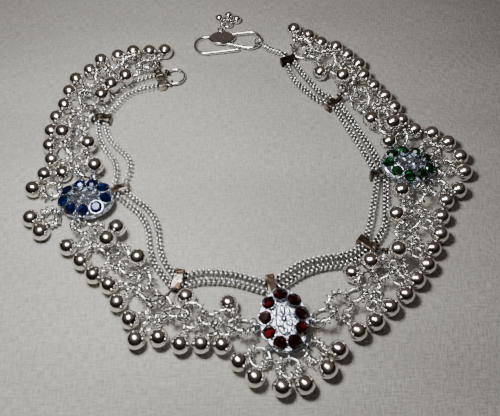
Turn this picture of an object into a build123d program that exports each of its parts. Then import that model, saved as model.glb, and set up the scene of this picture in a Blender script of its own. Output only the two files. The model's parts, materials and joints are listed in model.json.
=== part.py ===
"""Silver payal anklet, unfastened and laid open on a flat surface.

Two woven strands run side by side through eight scallops. Spacers and joint clips hold them
together where the scallops meet. Outside the strands hang rows of linked jump rings with
ghungroo bells, and three oval medallions set with round stones.

Plan: X to the right, Y away, Z up from the surface. Millimetres. The origin is under the middle
of the whole piece. "Out" always means away from the middle of the anklet.
"""
import os
from math import ceil, cos, degrees, pi, radians, sin, sqrt, tan
from typing import NamedTuple

import numpy as np
from build123d import *

os.makedirs("parts", exist_ok=True)

# --- driving sizes ---------------------------------------------------------------------------
GAP = 0.12                    # clearance between metal pieces that touch in use

STRAND_WIDTH = 2.1            # one woven strand, across
STRAND_HEIGHT = 1.8
STRAND_CORNER = 0.7           # rounding of its section
STRAND_HALF_PITCH = 1.17      # from the middle of the band to the middle of a strand
CUSP_RADIUS = 3.6             # bend of the band where two scallops meet
KNEE_RADIUS_LIMIT = 45.0      # flattest bend used inside a scallop

CLIP_WALL = 0.45              # sheet of the spacers and clips
CLIP_FLOOR = 0.35
SPACER_LENGTH = 2.8
JOINT_CLIP_LENGTH = 2.4

BELL_DIAMETER = 5.0
EYE_RADIUS = 0.75             # soldered eye of a bell, centreline
EYE_WIRE = 0.5
EYE_REACH = 3.05              # middle of the bell to the middle of its eye

ROW_RING_RADIUS = 3.15        # large jump rings, centreline
ROW_RING_WIRE = 0.75
ROW_RING_HEIGHT = 2.95        # middle of a large ring above the surface
ROW_RING_ROLLS = (-25.0, 45.0)  # lean of alternate large rings about the line of the row
DROP_RING_RADIUS = 1.45       # small jump rings, centreline
DROP_RING_WIRE = 0.6
DROP_RING_ROLL = 18.0

LUG_RADIUS = 0.85             # loops soldered on clips and medallions, centreline
LUG_WIRE = 0.6
CLIP_STALK = 0.64             # stalk of the loop that a medallion's link hangs from

PLATE_LENGTH = 16.4           # medallion plate, along the way it hangs
PLATE_WIDTH = 12.6
PLATE_THICKNESS = 1.8         # from the foot of its wall to its roof
PLATE_WALL = 0.7              # of the wall and the roof; it is hollow behind
STONE_DIAMETER = 3.34
STONE_COUNT = 9
STONE_RING_LENGTH = 13.2      # oval through the middles of the stones
STONE_RING_WIDTH = 9.4
STONE_TILT = 20.0             # degrees each stone leans out from the middle
SEAT_RADIUS = 1.78            # bore round a stone
SEAT_DEPTH = 0.42             # from the collet's lip to the ledge under the stone
SEAT_OPENING = 1.52           # radius of the open back behind a stone, at its ledge
SEAT_FOOT = 0.95              # the same at its narrow end
COLLET_WALL = 0.17
COLLET_DEPTH = 1.0
LIP_HEIGHT = 1.5              # middle of a collet's lip above the middle of the plate
LIP_ABOVE_GIRDLE = 0.07
GALLERY_COUNT = 24            # round piercings through the wall
GALLERY_RADIUS = 0.3
BOSS_LENGTH = 8.4             # raised oval in the middle of the face
BOSS_WIDTH = 4.2
BOSS_HEIGHT = 0.6
FAN_RING_RADIUS = 2.5         # link rings at the outer end of a medallion
FAN_RING_WIRE = 0.7
FAN_RING_HEIGHT = 1.6
FAN_SPREAD = 31.0             # angle of a fan's two bells either side of its middle

BAND_HEIGHT = CLIP_FLOOR + GAP + STRAND_HEIGHT / 2
BELL_RADIUS = BELL_DIAMETER / 2
CLIP_HEIGHT = CLIP_FLOOR + 2 * GAP + STRAND_HEIGHT + CLIP_WALL
CLIP_WIDTH = 2 * (STRAND_HALF_PITCH + STRAND_WIDTH / 2 + GAP + CLIP_WALL) + 0.5
CAP_LENGTH = 2.4
CAP_DEPTH = 1.2               # how far a strand goes into its end cap
CAP_WALL = 0.35               # sheet of the caps at the strands' sides
CAP_SHEET = 0.3               # the same above and below them
CAP_ROOT = 0.65               # from the end of a strand to the foot of its cap's loop
CAP_EYE_OUT = 2.2             # end of the band to the middle of the joint cap's loop
END_EYE_OUT = 3.05            # the same at the plain end, clear of the catch ring
CATCH_RING_RADIUS = 3.15
CATCH_RING_WIRE = 0.8
CHAIN_WIDTH = 2.0
CHAIN_EYE_RADIUS = 1.6
CHAIN_BEND = 1.6
CHAIN_RISE = 2.4              # length of its run up from the loop on the hook
CHAIN_HOLD = 0.2              # share of the way along the hook's wire where the chain holds it
HOOK_WIRE = 1.2
HOOK_LOW = 0.62               # middle of the hook's wire above the surface, at its far end
HOOK_HIGH = 1.4
HOOK_LEAF_LENGTH = 9.6
HOOK_LEAF_WIDTH = 6.2
HOOK_LEAF_HEIGHT = 1.25
SMALL_BELL_RADIUS = 1.5
SMALL_BELL_REACH = 2.05
SMALL_EYE_RADIUS = 0.7
SMALL_EYE_WIRE = 0.4
CLASP_RING_RADIUS = 1.7       # the two small rings on the hook's leaf
CLASP_BELL_SWINGS = (-27, 28, 83)
LINK_OUT = 4.75               # link ring between a joint clip and its medallion
LINK_HEIGHT = 1.95
LINK_ANGLES = (200.0, 28.0)   # where the clip's and the medallion's loops hold it
LINK_FOOT = (0.8, 4.3)        # how far in the medallion's loop is soldered, at most so far out

CLEARANCE = 0.11              # least gap kept when a bell is hung among its neighbours
POINT_STEP = 0.45
OUTER_ANGLES = range(-60, 61, 6)     # where on a large ring the outer drops may hook
LOOSE_ANGLES = (*range(-60, 61, 6), *range(120, 241, 6))
LOOSE_HEIGHTS = (2.5, 4.2, 5.2, 6.0, 6.8)   # a loose bell lies on the surface or over the rings
SWINGS = (0, -14, 14, -28, 28, -42, 42)       # how far a drop may swing aside to find room


# --- where the band goes ---------------------------------------------------------------------
class Junction(NamedTuple):
    """A point of the band where two scallops meet."""

    name: str
    x: float
    y: float
    clip_length: float        # 0 where the band ends
    row_out: float            # out to the row's ring that the spacer holds, 0 for the others
    bell_reach: float         # from the row's rings out to its line of bells
    part: float               # how much further than usual the strands part here


JUNCTIONS = [
    Junction("plain_end", -29.5, 36.2, 0.0, 0.0, 0.0, 1.2),
    Junction("spacer_1", -46.9, 19.6, SPACER_LENGTH, 4.6, 8.0, 0.0),
    Junction("blue_joint", -38.7, -7.2, JOINT_CLIP_LENGTH, 0.0, 0.0, 0.0),
    Junction("spacer_2", -19.6, -37.4, SPACER_LENGTH, 7.8, 9.0, 0.0),
    Junction("red_joint", 5.6, -38.3, JOINT_CLIP_LENGTH, 0.0, 0.0, 0.0),
    Junction("spacer_3", 32.3, -25.4, SPACER_LENGTH, 7.8, 8.8, 0.0),
    Junction("green_joint", 38.6, -1.8, JOINT_CLIP_LENGTH, 0.0, 0.0, 0.0),
    Junction("spacer_4", 26.8, 26.6, SPACER_LENGTH, 6.0, 8.0, 0.0),
    Junction("clasp_end", 12.6, 45.0, 0.0, 0.0, 0.0, 0.0),
]


class Scallop(NamedTuple):
    """One run of the band and the row of rings outside it.

    A knee is (share of the way along, how far in, how much further the two strands part).
    Distances out are measured from the straight line between the two junctions.
    """

    knees: tuple
    crest: tuple              # (along, out) of the middle of the row of large rings
    loose: tuple              # (along, out) of the bells that lie over the row or the band


SCALLOPS = [
    Scallop(((0.45, -5.0, 0.4),), (9.5, 11.5), ((9.0, 6.0), (13.0, 4.5), (17.0, 2.5))),
    Scallop(((0.30, -0.6, 0.2), (0.70, 4.2, 0.9)), (10.0, 9.2),
            ((7.0, 12.0), (13.0, 7.0), (18.5, 6.0))),
    Scallop(((0.38, 4.4, 0.2), (0.70, -1.0, 0.2)), (21.0, 9.4),
            ((8.0, 2.4), (13.5, 2.6), (15.5, 11.5), (28.0, 6.0))),
    Scallop(((0.18, 2.9, 0.1), (0.55, 3.2, 0.1)), (8.5, 9.6), ((2.5, 2.4), (14.0, 5.0))),
    Scallop(((0.38, 2.4, 0.1), (0.80, -1.6, 0.1)), (16.0, 12.0), ((21.0, 4.1), (26.0, 6.5))),
    Scallop(((0.30, -1.6, 1.0),), (7.0, 9.6), ((-2.5, 6.5), (13.0, 5.0), (19.0, 5.5))),
    Scallop(((0.35, -0.4, 0.2),), (17.0, 8.8), ((6.0, 5.0), (11.0, 7.0), (18.0, 7.0))),
    Scallop(((0.20, 2.6, 0.2), (0.65, 2.4, 0.9)), (12.0, 8.8), ((5.5, 8.0), (12.0, 3.5))),
]
ROW_ENDS = {"plain_end": (-3.0, 5.0), "clasp_end": (26.5, 4.6)}  # (along, out) in their scallop
ROW_BELL_SPACING = 5.5
BELL_LINE_TAPER = 2.4          # the line of bells runs nearer its rings away from the spacer
FARTHEST_MISS = 3.4           # a bell that can't hang this near its place is left out


class Medallion(NamedTuple):
    """An oval medallion hanging outside the band."""

    name: str
    joint: str
    x: float
    y: float
    facing: float             # degrees from X of the way its outer end points
    tilt: float               # degrees its outer end is lower than level
    lift: float               # lowest edge of the plate above the surface
    fans: tuple               # degrees round the plate's outer end of each fan of bells


MEDALLIONS = [
    Medallion("blue", "blue_joint", -46.8, -11.4, 171.0, 9.0, 1.1, (-14.0, 40.0)),
    Medallion("red", "red_joint", 8.3, -48.2, -83.0, 5.0, 2.2, (-44.0, 0.0, 44.0)),
    Medallion("green", "green_joint", 46.3, 0.4, 5.0, 9.0, 1.1, (-46.0, -2.0, 38.0)),
]
# corners of the clasp hook's wire: (x, y, bend radius)
HOOK_CORNERS = [
    (-7.9, 53.2, 0.0), (3.4, 49.9, 3.5), (3.3, 59.0, 3.6),
    (-19.0, 56.2, 3.7), (-18.9, 48.4, 3.7), (-4.3, 50.3, 0.0),
]
HOOK_LEAF_PLACE = (-9.9, 55.6)
MIDDLE = Vector(-0.112, 0.477, 0)  # plan position in these tables of the middle of the whole piece

UP = Vector(0, 0, 1)


def unit(vector):
    """The direction of a vector."""
    return vector.normalized()


def lean(direction, angle):
    """A level direction leant up by an angle in degrees."""
    return direction * cos(radians(angle)) + UP * sin(radians(angle))


def turned(vector, axis, angle):
    """A vector turned about an axis through the origin by an angle in degrees."""
    return vector.rotate(Axis((0, 0, 0), axis), angle)


def across(vector, line):
    """The part of a vector square to a line, as a direction."""
    return unit(vector - line * vector.dot(line))


def junction_point(index):
    """Plan position of a junction."""
    return Vector(JUNCTIONS[index].x, JUNCTIONS[index].y, 0) - MIDDLE


def scallop_frame(index):
    """Start, length, along direction and out direction of a scallop."""
    start = junction_point(index)
    chord = junction_point(index + 1) - start
    along = unit(chord)
    return start, chord.length, along, along.cross(UP)


def in_scallop(index, along_by, out_by, height=0.0):
    """Plan position given along and out of a scallop."""
    start, _, along, out = scallop_frame(index)
    return start + along * along_by + out * out_by + UP * height


def band_corners():
    """Corners of the band's middle line: place, how far the strands part, whether a cusp."""
    corners = [(junction_point(0), JUNCTIONS[0].part, False)]
    for index, scallop in enumerate(SCALLOPS):
        length = scallop_frame(index)[1]
        corners += [
            (in_scallop(index, share * length, -inward), part, False)
            for share, inward, part in scallop.knees
        ]
        part = JUNCTIONS[index + 1].part
        corners.append((junction_point(index + 1), part, index < len(SCALLOPS) - 1))
    return corners


def strand_route(side):
    """Points and bend radii of one strand: side is 1 for the outer strand, -1 for the inner."""
    corners = band_corners()
    points = []
    for index, (here, part, _) in enumerate(corners):
        before = corners[max(index - 1, 0)][0]
        after = corners[min(index + 1, len(corners) - 1)][0]
        incoming = unit(here - before) if index else unit(after - here)
        outgoing = unit(after - here) if index < len(corners) - 1 else incoming
        out = unit(incoming + outgoing).cross(UP)
        mitre = 1 / sqrt((1 + incoming.dot(outgoing)) / 2)
        points.append(here + out * side * (STRAND_HALF_PITCH + part) * mitre + UP * BAND_HEIGHT)
    radii = []
    for index in range(1, len(points) - 1):
        incoming = points[index] - points[index - 1]
        outgoing = points[index + 1] - points[index]
        bend = radians(incoming.get_angle(outgoing))
        room = 0.46 * min(incoming.length, outgoing.length)
        limit = KNEE_RADIUS_LIMIT
        if corners[index][2]:
            limit = CUSP_RADIUS + side * STRAND_HALF_PITCH
        radii.append(min(limit, room / tan(bend / 2)))
    return points, radii


def strand_end(side, at_clasp):
    """Plane at the end of a strand: X on past the end, Z up."""
    points, _ = strand_route(side)
    tip, before = (points[-1], points[-2]) if at_clasp else (points[0], points[1])
    return Plane(origin=tip, x_dir=unit(tip - before), z_dir=UP)


def clip_plane(index):
    """Plane under a clip: X along the strands there, Y across, Z up."""
    corners = band_corners()
    place = junction_point(index)
    corner = next(n for n, (point, _, _) in enumerate(corners) if (point - place).length < 1e-6)
    incoming = unit(place - corners[corner - 1][0])
    outgoing = unit(corners[corner + 1][0] - place)
    along = unit(incoming + outgoing)
    inset = CUSP_RADIUS * (sqrt(2 / (1 + incoming.dot(outgoing))) - 1)
    return Plane(origin=place - along.cross(UP) * (inset + 0.22), x_dir=along, z_dir=UP)


# --- wires, rings and bells ------------------------------------------------------------------
class Ring(NamedTuple):
    """A closed ring of round wire."""

    centre: Vector
    normal: Vector
    radius: float
    wire: float


class Bell(NamedTuple):
    """A round bell with its soldered eye."""

    centre: Vector
    to_eye: Vector
    eye_normal: Vector


class Lug(NamedTuple):
    """A loop on a short stalk, soldered to the piece that holds root."""

    centre: Vector
    normal: Vector
    root: Vector
    stalk: float = LUG_WIRE


def hooked_reach(radius, wire, held_wire):
    """From the wire a ring hooks to the ring's middle, when the ring is pulled nearly tight."""
    return radius - wire / 2 - held_wire / 2 - GAP


def drop_length(ring_count, held_wire):
    """From the wire that a drop hangs on to the middle of its bell."""
    length = EYE_REACH
    for _ in range(ring_count):
        length += DROP_RING_RADIUS + hooked_reach(DROP_RING_RADIUS, DROP_RING_WIRE, held_wire)
        held_wire = DROP_RING_WIRE
    return length


def make_drop(hook, tangent, direction, ring_count, held_wire, roll):
    """Small rings and a bell in a straight line from the wire point they hook."""
    rings = []
    normal = across(tangent, direction)
    if ring_count:
        normal = turned(normal, direction, roll)
    for _ in range(ring_count):
        reach = hooked_reach(DROP_RING_RADIUS, DROP_RING_WIRE, held_wire)
        centre = hook + direction * reach
        rings.append(Ring(centre, normal, DROP_RING_RADIUS, DROP_RING_WIRE))
        hook = centre + direction * DROP_RING_RADIUS
        normal = normal.cross(direction)
        held_wire = DROP_RING_WIRE
    return rings, Bell(hook + direction * EYE_REACH, direction * -1, normal)


class RowRing(NamedTuple):
    """A large ring of a row with the directions of its own plane."""

    ring: Ring
    along: Vector
    out: Vector
    lean: Vector


def medallion_frame(medallion):
    """Plane of a medallion: X to its outer end, Y across, Z out of its face."""
    facing = Vector(cos(radians(medallion.facing)), sin(radians(medallion.facing)), 0)
    length_way = lean(facing, -medallion.tilt)
    drop = PLATE_LENGTH / 2 * sin(radians(medallion.tilt))
    height = drop + PLATE_THICKNESS / 2 * cos(radians(medallion.tilt)) + medallion.lift
    origin = Vector(medallion.x, medallion.y, height) - MIDDLE
    return Plane(origin=origin, x_dir=length_way, z_dir=length_way.cross(facing.cross(UP)) * -1)


def medallion_side(medallion, toward):
    """Where a row of rings meets a medallion, on the side nearer to a point."""
    frame = medallion_frame(medallion)
    side = frame.y_dir
    if side.dot(toward - frame.origin) < 0:
        side = side * -1
    point = frame.origin + side * (PLATE_WIDTH / 2 + 1.1) + frame.x_dir * 0.5
    return Vector(point.X, point.Y, ROW_RING_HEIGHT)


def row_end(scallop_index, at_finish):
    """Where a row of large rings ends, away from its spacer."""
    start, length, along, out = scallop_frame(scallop_index)
    name = JUNCTIONS[scallop_index + int(at_finish)].name
    if name in ROW_ENDS:
        return in_scallop(scallop_index, *ROW_ENDS[name], ROW_RING_HEIGHT)
    medallion = next(medallion for medallion in MEDALLIONS if medallion.joint == name)
    return medallion_side(medallion, start + along * length / 2 + out * 8)


def out_at_spacer(index):
    """The way out at a spacer, between the ways out of its two scallops."""
    return unit(scallop_frame(index - 1)[3] + scallop_frame(index)[3])


def row_side(index, before):
    """Middles of the large rings from a spacer to the end of its row, and that end."""
    corner = junction_point(index) + out_at_spacer(index) * JUNCTIONS[index].row_out
    corner += UP * ROW_RING_HEIGHT
    scallop = index - 1 if before else index
    end = row_end(scallop, not before)
    arc = ThreePointArc(corner, in_scallop(scallop, *SCALLOPS[scallop].crest, ROW_RING_HEIGHT), end)
    free = arc.length - ROW_RING_RADIUS
    tight = 2 * ROW_RING_RADIUS - ROW_RING_WIRE - GAP
    links = ceil(free / tight)
    return [arc @ (free * link / links / arc.length) for link in range(links + 1)], arc @ 1


def row_rings(index):
    """The linked large rings of the row that a spacer holds, and which of them it holds."""
    before, first_end = row_side(index, True)
    after, last_end = row_side(index, False)
    middles = [first_end, *reversed(before[1:]), *after, last_end]
    held = len(before) - 1
    rings = []
    for number in range(1, len(middles) - 1):
        along = unit(middles[number + 1] - middles[number - 1])
        if number in (1, len(middles) - 2):
            beyond = middles[0] if number == 1 else middles[-1]
            along = unit((middles[number] - beyond) * (1 if number == 1 else -1))
        tilted = lean(along.cross(UP), ROW_RING_ROLLS[(number - 1 - held) % 2])
        ring = Ring(middles[number], along.cross(tilted), ROW_RING_RADIUS, ROW_RING_WIRE)
        rings.append(RowRing(ring, along, along.cross(UP), tilted))
    return rings, held


def wire_point(row_ring, angle):
    """Point and tangent of a large ring's wire at an angle from its out direction."""
    ahead, aside = cos(radians(angle)), sin(radians(angle))
    point = row_ring.ring.centre + (row_ring.lean * ahead + row_ring.along * aside) * ROW_RING_RADIUS
    return point, row_ring.along * ahead - row_ring.lean * aside


class Space:
    """What is already placed: points along every piece, each with the metal's radius there."""

    def __init__(self):
        self.points = np.empty((0, 3))
        self.radii = np.empty(0)

    def add(self, points, radius):
        """Fill the space round some points."""
        self.points = np.vstack([self.points, points])
        self.radii = np.append(self.radii, np.full(len(points), radius))

    def has_room(self, points, radius):
        """Whether metal of this radius round the points stays clear of all that is placed."""
        near = np.abs(self.points - points.mean(axis=0)).max(axis=1) < 7.0
        steps = self.points[near][:, None, :] - points[None, :, :]
        gaps = np.sqrt((steps**2).sum(axis=2)) - self.radii[near][:, None] - radius
        return not gaps.size or gaps.min() >= CLEARANCE

    def add_all(self, shapes):
        """Fill the space of several (points, radius) shapes."""
        for points, radius in shapes:
            self.add(points, radius)


def circle_points(centre, normal, radius):
    """Points about half a millimetre apart round a circle."""
    flat = Plane(origin=centre, z_dir=normal)
    angles = np.linspace(0, 2 * pi, ceil(2 * pi * radius / POINT_STEP), endpoint=False)
    sideways, upward = np.array([*flat.x_dir]), np.array([*flat.y_dir])
    ring = np.outer(np.cos(angles), sideways) + np.outer(np.sin(angles), upward)
    return np.array([*centre]) + radius * ring


def ring_shape(ring):
    """A ring as points and the radius round them."""
    return circle_points(ring.centre, ring.normal, ring.radius), ring.wire / 2


def bell_shapes(bell):
    """A bell and its eye as points and the radius round them."""
    eye = bell.centre + bell.to_eye * EYE_REACH
    return [
        (np.array([[*bell.centre]]), BELL_RADIUS),
        (circle_points(eye, bell.eye_normal, EYE_RADIUS), EYE_WIRE / 2),
    ]


class Hold(NamedTuple):
    """One way to hang a drop: how far its bell misses the target, and what it hangs from."""

    miss: float
    ring: int
    angle: float
    direction: Vector
    count: int


def ways_to_hang(rings, target, angles, ring_counts):
    """Every way to hang a drop from a row, the nearest to the target first."""
    ways = []
    for index, row_ring in enumerate(rings):
        if (target - row_ring.ring.centre).length > 14:
            continue
        for angle in angles:
            hook, _ = wire_point(row_ring, angle)
            level = unit(Vector(target.X - hook.X, target.Y - hook.Y, 0))
            for count in ring_counts:
                length = drop_length(count, ROW_RING_WIRE)
                rise = (target.Z - hook.Z) / length
                if abs(rise) > 0.9:
                    continue
                for swing in SWINGS:
                    way = turned(level, UP, swing) * sqrt(1 - rise**2) + UP * rise
                    miss = (hook + way * length - target).length
                    if miss <= FARTHEST_MISS:
                        ways.append(Hold(miss, index, angle, way, count))
    return sorted(ways, key=lambda hold: hold.miss + hold.count * 0.7)


def hang(space, rings, target, angles, ring_counts, roll):
    """The drop nearest to its target that stays clear of everything placed before it."""
    for hold in ways_to_hang(rings, target, angles, ring_counts):
        hook, tangent = wire_point(rings[hold.ring], hold.angle)
        small_rings, bell = make_drop(
            hook, tangent, hold.direction, hold.count, ROW_RING_WIRE, roll if hold.count else 0
        )
        shapes = [ring_shape(ring) for ring in small_rings] + bell_shapes(bell)
        above_floor = all(points[:, 2].min() >= radius for points, radius in shapes)
        if above_floor and all(space.has_room(points, radius) for points, radius in shapes):
            space.add_all(shapes)
            return small_rings, [bell]
    return [], []


def bell_places(index, rings):
    """Evenly spaced places outside a row for its outer line of bells."""
    held = row_rings(index)[1]
    points = []
    for number, row_ring in enumerate(rings):
        taper = BELL_LINE_TAPER * abs(number - held) / len(rings)
        points.append(row_ring.ring.centre + row_ring.out * (JUNCTIONS[index].bell_reach - taper))
    if index - 1 == 0:
        points.insert(0, points[0] - rings[0].along * ROW_BELL_SPACING)
    if index + 2 == len(JUNCTIONS):
        points.append(points[-1] + rings[-1].along * ROW_BELL_SPACING)
    line = Polyline([Vector(point.X, point.Y, BELL_RADIUS) for point in points])
    count = round(line.length / ROW_BELL_SPACING)
    return [line @ (number / count) for number in range(count + 1)]


def row_fringe(index, space):
    """Small rings and bells of the row that a spacer holds."""
    rings, _ = row_rings(index)
    small_rings, bells = [], []
    for number, place in enumerate(bell_places(index, rings)):
        roll = DROP_RING_ROLL * (-1) ** number
        found, bell = hang(space, rings, place, OUTER_ANGLES, (0, 1, 2), roll)
        small_rings += found
        bells += bell
    for scallop in (index - 1, index):
        for place in SCALLOPS[scallop].loose:
            for height in LOOSE_HEIGHTS:
                target = in_scallop(scallop, *place, height)
                _, bell = hang(space, rings, target, LOOSE_ANGLES, (0,), 0)
                if bell:
                    bells += bell
                    break
    return small_rings, bells


def lug_owner(junction):
    """Name of the piece that holds the end of a row at a junction."""
    for medallion in MEDALLIONS:
        if medallion.joint == junction.name:
            return medallion.name + "_setting"
    return {"plain_end": "end_cap_outer", "clasp_end": "joint_cap"}[junction.name]


def lug_root(junction, near):
    """Point inside the piece that holds the end of a row, where its lug is soldered."""
    index = JUNCTIONS.index(junction)
    for medallion in MEDALLIONS:
        if medallion.joint == junction.name:
            frame = medallion_frame(medallion)
            side = frame.y_dir if frame.y_dir.dot(near - frame.origin) > 0 else frame.y_dir * -1
            return frame.origin + side * (PLATE_WIDTH / 2 - 0.5) - frame.x_dir * 0.05
    end = strand_end(1, index > 0)
    return end.origin + end.x_dir * CAP_ROOT


def row_lugs(index):
    """The loops at the two ends of a row and at its spacer, each with the piece it is soldered to."""
    rings, held = row_rings(index)
    first, last, middle = rings[0], rings[-1], rings[held]
    spacer = JUNCTIONS[index]
    start = first.ring.centre - first.along * ROW_RING_RADIUS
    finish = last.ring.centre + last.along * ROW_RING_RADIUS
    hold = middle.ring.centre - middle.lean * ROW_RING_RADIUS
    before, after = JUNCTIONS[index - 1], JUNCTIONS[index + 1]
    root = junction_point(index) + out_at_spacer(index) * 1.6 + UP * (CLIP_HEIGHT - 0.1)
    return [
        (lug_owner(before), Lug(start, first.lean, lug_root(before, start))),
        (spacer.name, Lug(hold, middle.along, root)),
        (lug_owner(after), Lug(finish, last.lean, lug_root(after, finish))),
    ]


def lug_shapes(lug):
    """A lug as points and the radius round them."""
    stalk = np.linspace([*lug_rim(lug)], [*lug.root], ceil((lug.root - lug.centre).length / 0.4) + 1)
    return [
        (circle_points(lug.centre, lug.normal, LUG_RADIUS), LUG_WIRE / 2),
        (stalk, LUG_WIRE / 2),
    ]


def lug_rim(lug):
    """The point of a lug's loop that its stalk starts from."""
    return lug.centre + across(lug.root - lug.centre, unit(lug.normal)) * LUG_RADIUS


def joint_link(medallion):
    """Loops and link ring between a joint clip and its medallion."""
    index = [junction.name for junction in JUNCTIONS].index(medallion.joint)
    frame = medallion_frame(medallion)
    joint = junction_point(index)
    way = unit(Vector(frame.origin.X, frame.origin.Y, 0) - joint)
    centre = joint + way * LINK_OUT + UP * LINK_HEIGHT
    ring = Ring(centre, way.cross(UP), DROP_RING_RADIUS, DROP_RING_WIRE)
    lugs = []
    for angle in LINK_ANGLES:
        ray = way * cos(radians(angle)) + UP * sin(radians(angle))
        tangent = UP * cos(radians(angle)) - way * sin(radians(angle))
        lugs.append((centre + ray * DROP_RING_RADIUS, tangent))
    under = frame.to_local_coords(lugs[1][0])
    roof = (PLATE_THICKNESS - PLATE_WALL) / 2
    foot = max(under.X + LINK_FOOT[0], -LINK_FOOT[1])
    plate_root = frame.from_local_coords(Vector(foot, under.Y, roof))
    clip_root = clip_plane(index).origin + way * (CLIP_WIDTH / 2 - 0.15) + UP * 1.4
    return Lug(*lugs[0], clip_root, CLIP_STALK), Lug(*lugs[1], plate_root), ring


def fan_pieces(medallion):
    """Lugs, link rings and bells at the outer end of a medallion."""
    frame = medallion_frame(medallion)
    lugs, rings, bells = [], [], []
    for angle in medallion.fans:
        rim = frame.from_local_coords(
            Vector(
                PLATE_LENGTH / 2 * cos(radians(angle)), PLATE_WIDTH / 2 * sin(radians(angle)), 0
            )
        )
        square = frame.from_local_coords(
            Vector(
                cos(radians(angle)) / PLATE_LENGTH * 100, sin(radians(angle)) / PLATE_WIDTH * 100, 0
            )
        ) - frame.origin
        outward = unit(Vector(square.X, square.Y, 0))
        eye = Vector(rim.X, rim.Y, FAN_RING_HEIGHT) + outward * 0.9
        lugs.append(Lug(eye, outward.cross(UP), rim - outward * 0.6))
        centre = eye + outward * FAN_RING_RADIUS
        rings.append(Ring(centre, UP, FAN_RING_RADIUS, FAN_RING_WIRE))
        for swing in (-FAN_SPREAD, FAN_SPREAD):
            way = turned(outward, UP, swing)
            hook = centre + way * FAN_RING_RADIUS
            rise = (BELL_RADIUS - hook.Z) / EYE_REACH
            direction = way * sqrt(1 - rise**2) + UP * rise
            bells.append(make_drop(hook, way.cross(UP), direction, 0, FAN_RING_WIRE, 0)[1])
    return lugs, rings, bells


# --- solids ----------------------------------------------------------------------------------
def at(centre, normal):
    """Where a ring's or torus's own middle and axis go."""
    return Plane(origin=centre, z_dir=normal).location


def add_lugs(lugs):
    """Solder loops and their stalks to the piece being built."""
    for lug in lugs:
        with Locations(at(lug.centre, lug.normal)):
            Torus(LUG_RADIUS, LUG_WIRE / 2)
        rim = lug_rim(lug)
        with Locations(at((rim + lug.root) * 0.5, lug.root - rim)):
            Cylinder(lug.stalk / 2, (lug.root - rim).length)


def build_strand(side, extra=0.0):
    """A strand, or with extra its tunnel through the clips."""
    points, radii = strand_route(side)
    with BuildPart() as strand:
        with BuildLine() as route:
            FilletPolyline(*points, radius=radii)
        line = route.wires()[0]
        with BuildSketch(Plane(origin=line @ 0, x_dir=(line % 0).cross(UP), z_dir=line % 0)):
            RectangleRounded(
                STRAND_WIDTH + 2 * extra, STRAND_HEIGHT + 2 * extra, STRAND_CORNER + extra
            )
        sweep(path=line)
    if not extra:
        section = STRAND_WIDTH * STRAND_HEIGHT - (4 - pi) * STRAND_CORNER**2
        print(
            f"strand {side:+d}: length {line.length:.1f}, bend radii "
            f"{', '.join(f'{radius:.1f}' for radius in radii)}, volume "
            f"{strand.part.volume:.1f}, section x length {section * line.length:.1f}"
        )
    return strand.part


def build_clip(index, tunnels, lugs):
    """A sheet clip crimped round both strands, following their bend, with its loops."""
    with BuildPart() as clip:
        with BuildSketch(clip_plane(index)):
            RectangleRounded(JUNCTIONS[index].clip_length, CLIP_WIDTH, 0.3)
        extrude(amount=CLIP_HEIGHT)
        chamfer(clip.faces().sort_by(Axis.Z)[-1].edges(), 0.25)
        for tunnel in tunnels:
            add(tunnel, mode=Mode.SUBTRACT)
        add_lugs(lugs)
    return clip.part


def build_end_cap(side, lugs):
    """The cap on the plain end of one strand, with its eye for the catch ring."""
    frame = strand_end(side, False)
    with BuildPart() as cap:
        with Locations(frame.location * Location((CAP_LENGTH / 2 - CAP_DEPTH, 0, 0))):
            Box(CAP_LENGTH, STRAND_WIDTH + 2 * (GAP + CAP_WALL), STRAND_HEIGHT + 2 * (GAP + CAP_SHEET))
        chamfer(cap.edges(), 0.2)
        with Locations(frame.location * Location((GAP / 2 - CAP_DEPTH, 0, 0))):
            Box(
                2 * CAP_DEPTH + GAP, STRAND_WIDTH + 2 * GAP, STRAND_HEIGHT + 2 * GAP,
                mode=Mode.SUBTRACT,
            )
        add_lugs(lugs)
    return cap.part


def joint_cap_frame():
    """Plane at the clasp end of the band: X on past the end."""
    inner, outer = strand_end(-1, True), strand_end(1, True)
    way = unit(inner.x_dir + outer.x_dir)
    return Plane(origin=(inner.origin + outer.origin) * 0.5, x_dir=way, z_dir=UP)


def build_joint_cap(lugs):
    """The cap that gathers both strands at the clasp end."""
    frame = joint_cap_frame()
    width = 2 * (STRAND_HALF_PITCH + STRAND_WIDTH / 2 + GAP + CAP_WALL)
    with BuildPart() as cap:
        with Locations(frame.location * Location((CAP_LENGTH / 2 - CAP_DEPTH, 0, 0))):
            Box(CAP_LENGTH, width, STRAND_HEIGHT + 2 * (GAP + CAP_SHEET))
        chamfer(cap.edges(), 0.25)
        for side in (-1, 1):
            end = strand_end(side, True)
            with Locations(end.location * Location((GAP / 2 - CAP_DEPTH, 0, 0))):
                Box(
                    2 * CAP_DEPTH + GAP, STRAND_WIDTH + 2 * GAP, STRAND_HEIGHT + 2 * GAP,
                    mode=Mode.SUBTRACT,
                )
        add_lugs(lugs)
    return cap.part


def build_rings(rings):
    """Loose jump rings of one size as one node."""
    with BuildPart() as loose:
        with Locations(*[at(ring.centre, ring.normal) for ring in rings]):
            Torus(rings[0].radius, rings[0].wire / 2)
    return loose.part


def build_bells(bells, radius=BELL_RADIUS, reach=EYE_REACH, eye_radius=EYE_RADIUS, wire=EYE_WIRE):
    """Bells with their eyes as one node."""
    with BuildPart() as bell:
        Sphere(radius, rotation=(0, 0, 180))
        with Locations(Location((reach, 0, 0), (90, 0, 0))):
            Torus(eye_radius, wire / 2)
    places = [Plane(origin=each.centre, x_dir=each.to_eye, z_dir=each.eye_normal.cross(each.to_eye))
              for each in bells]
    with BuildPart() as loose:
        with Locations(*[place.location for place in places]):
            add(bell.part)
    return loose.part


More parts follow.
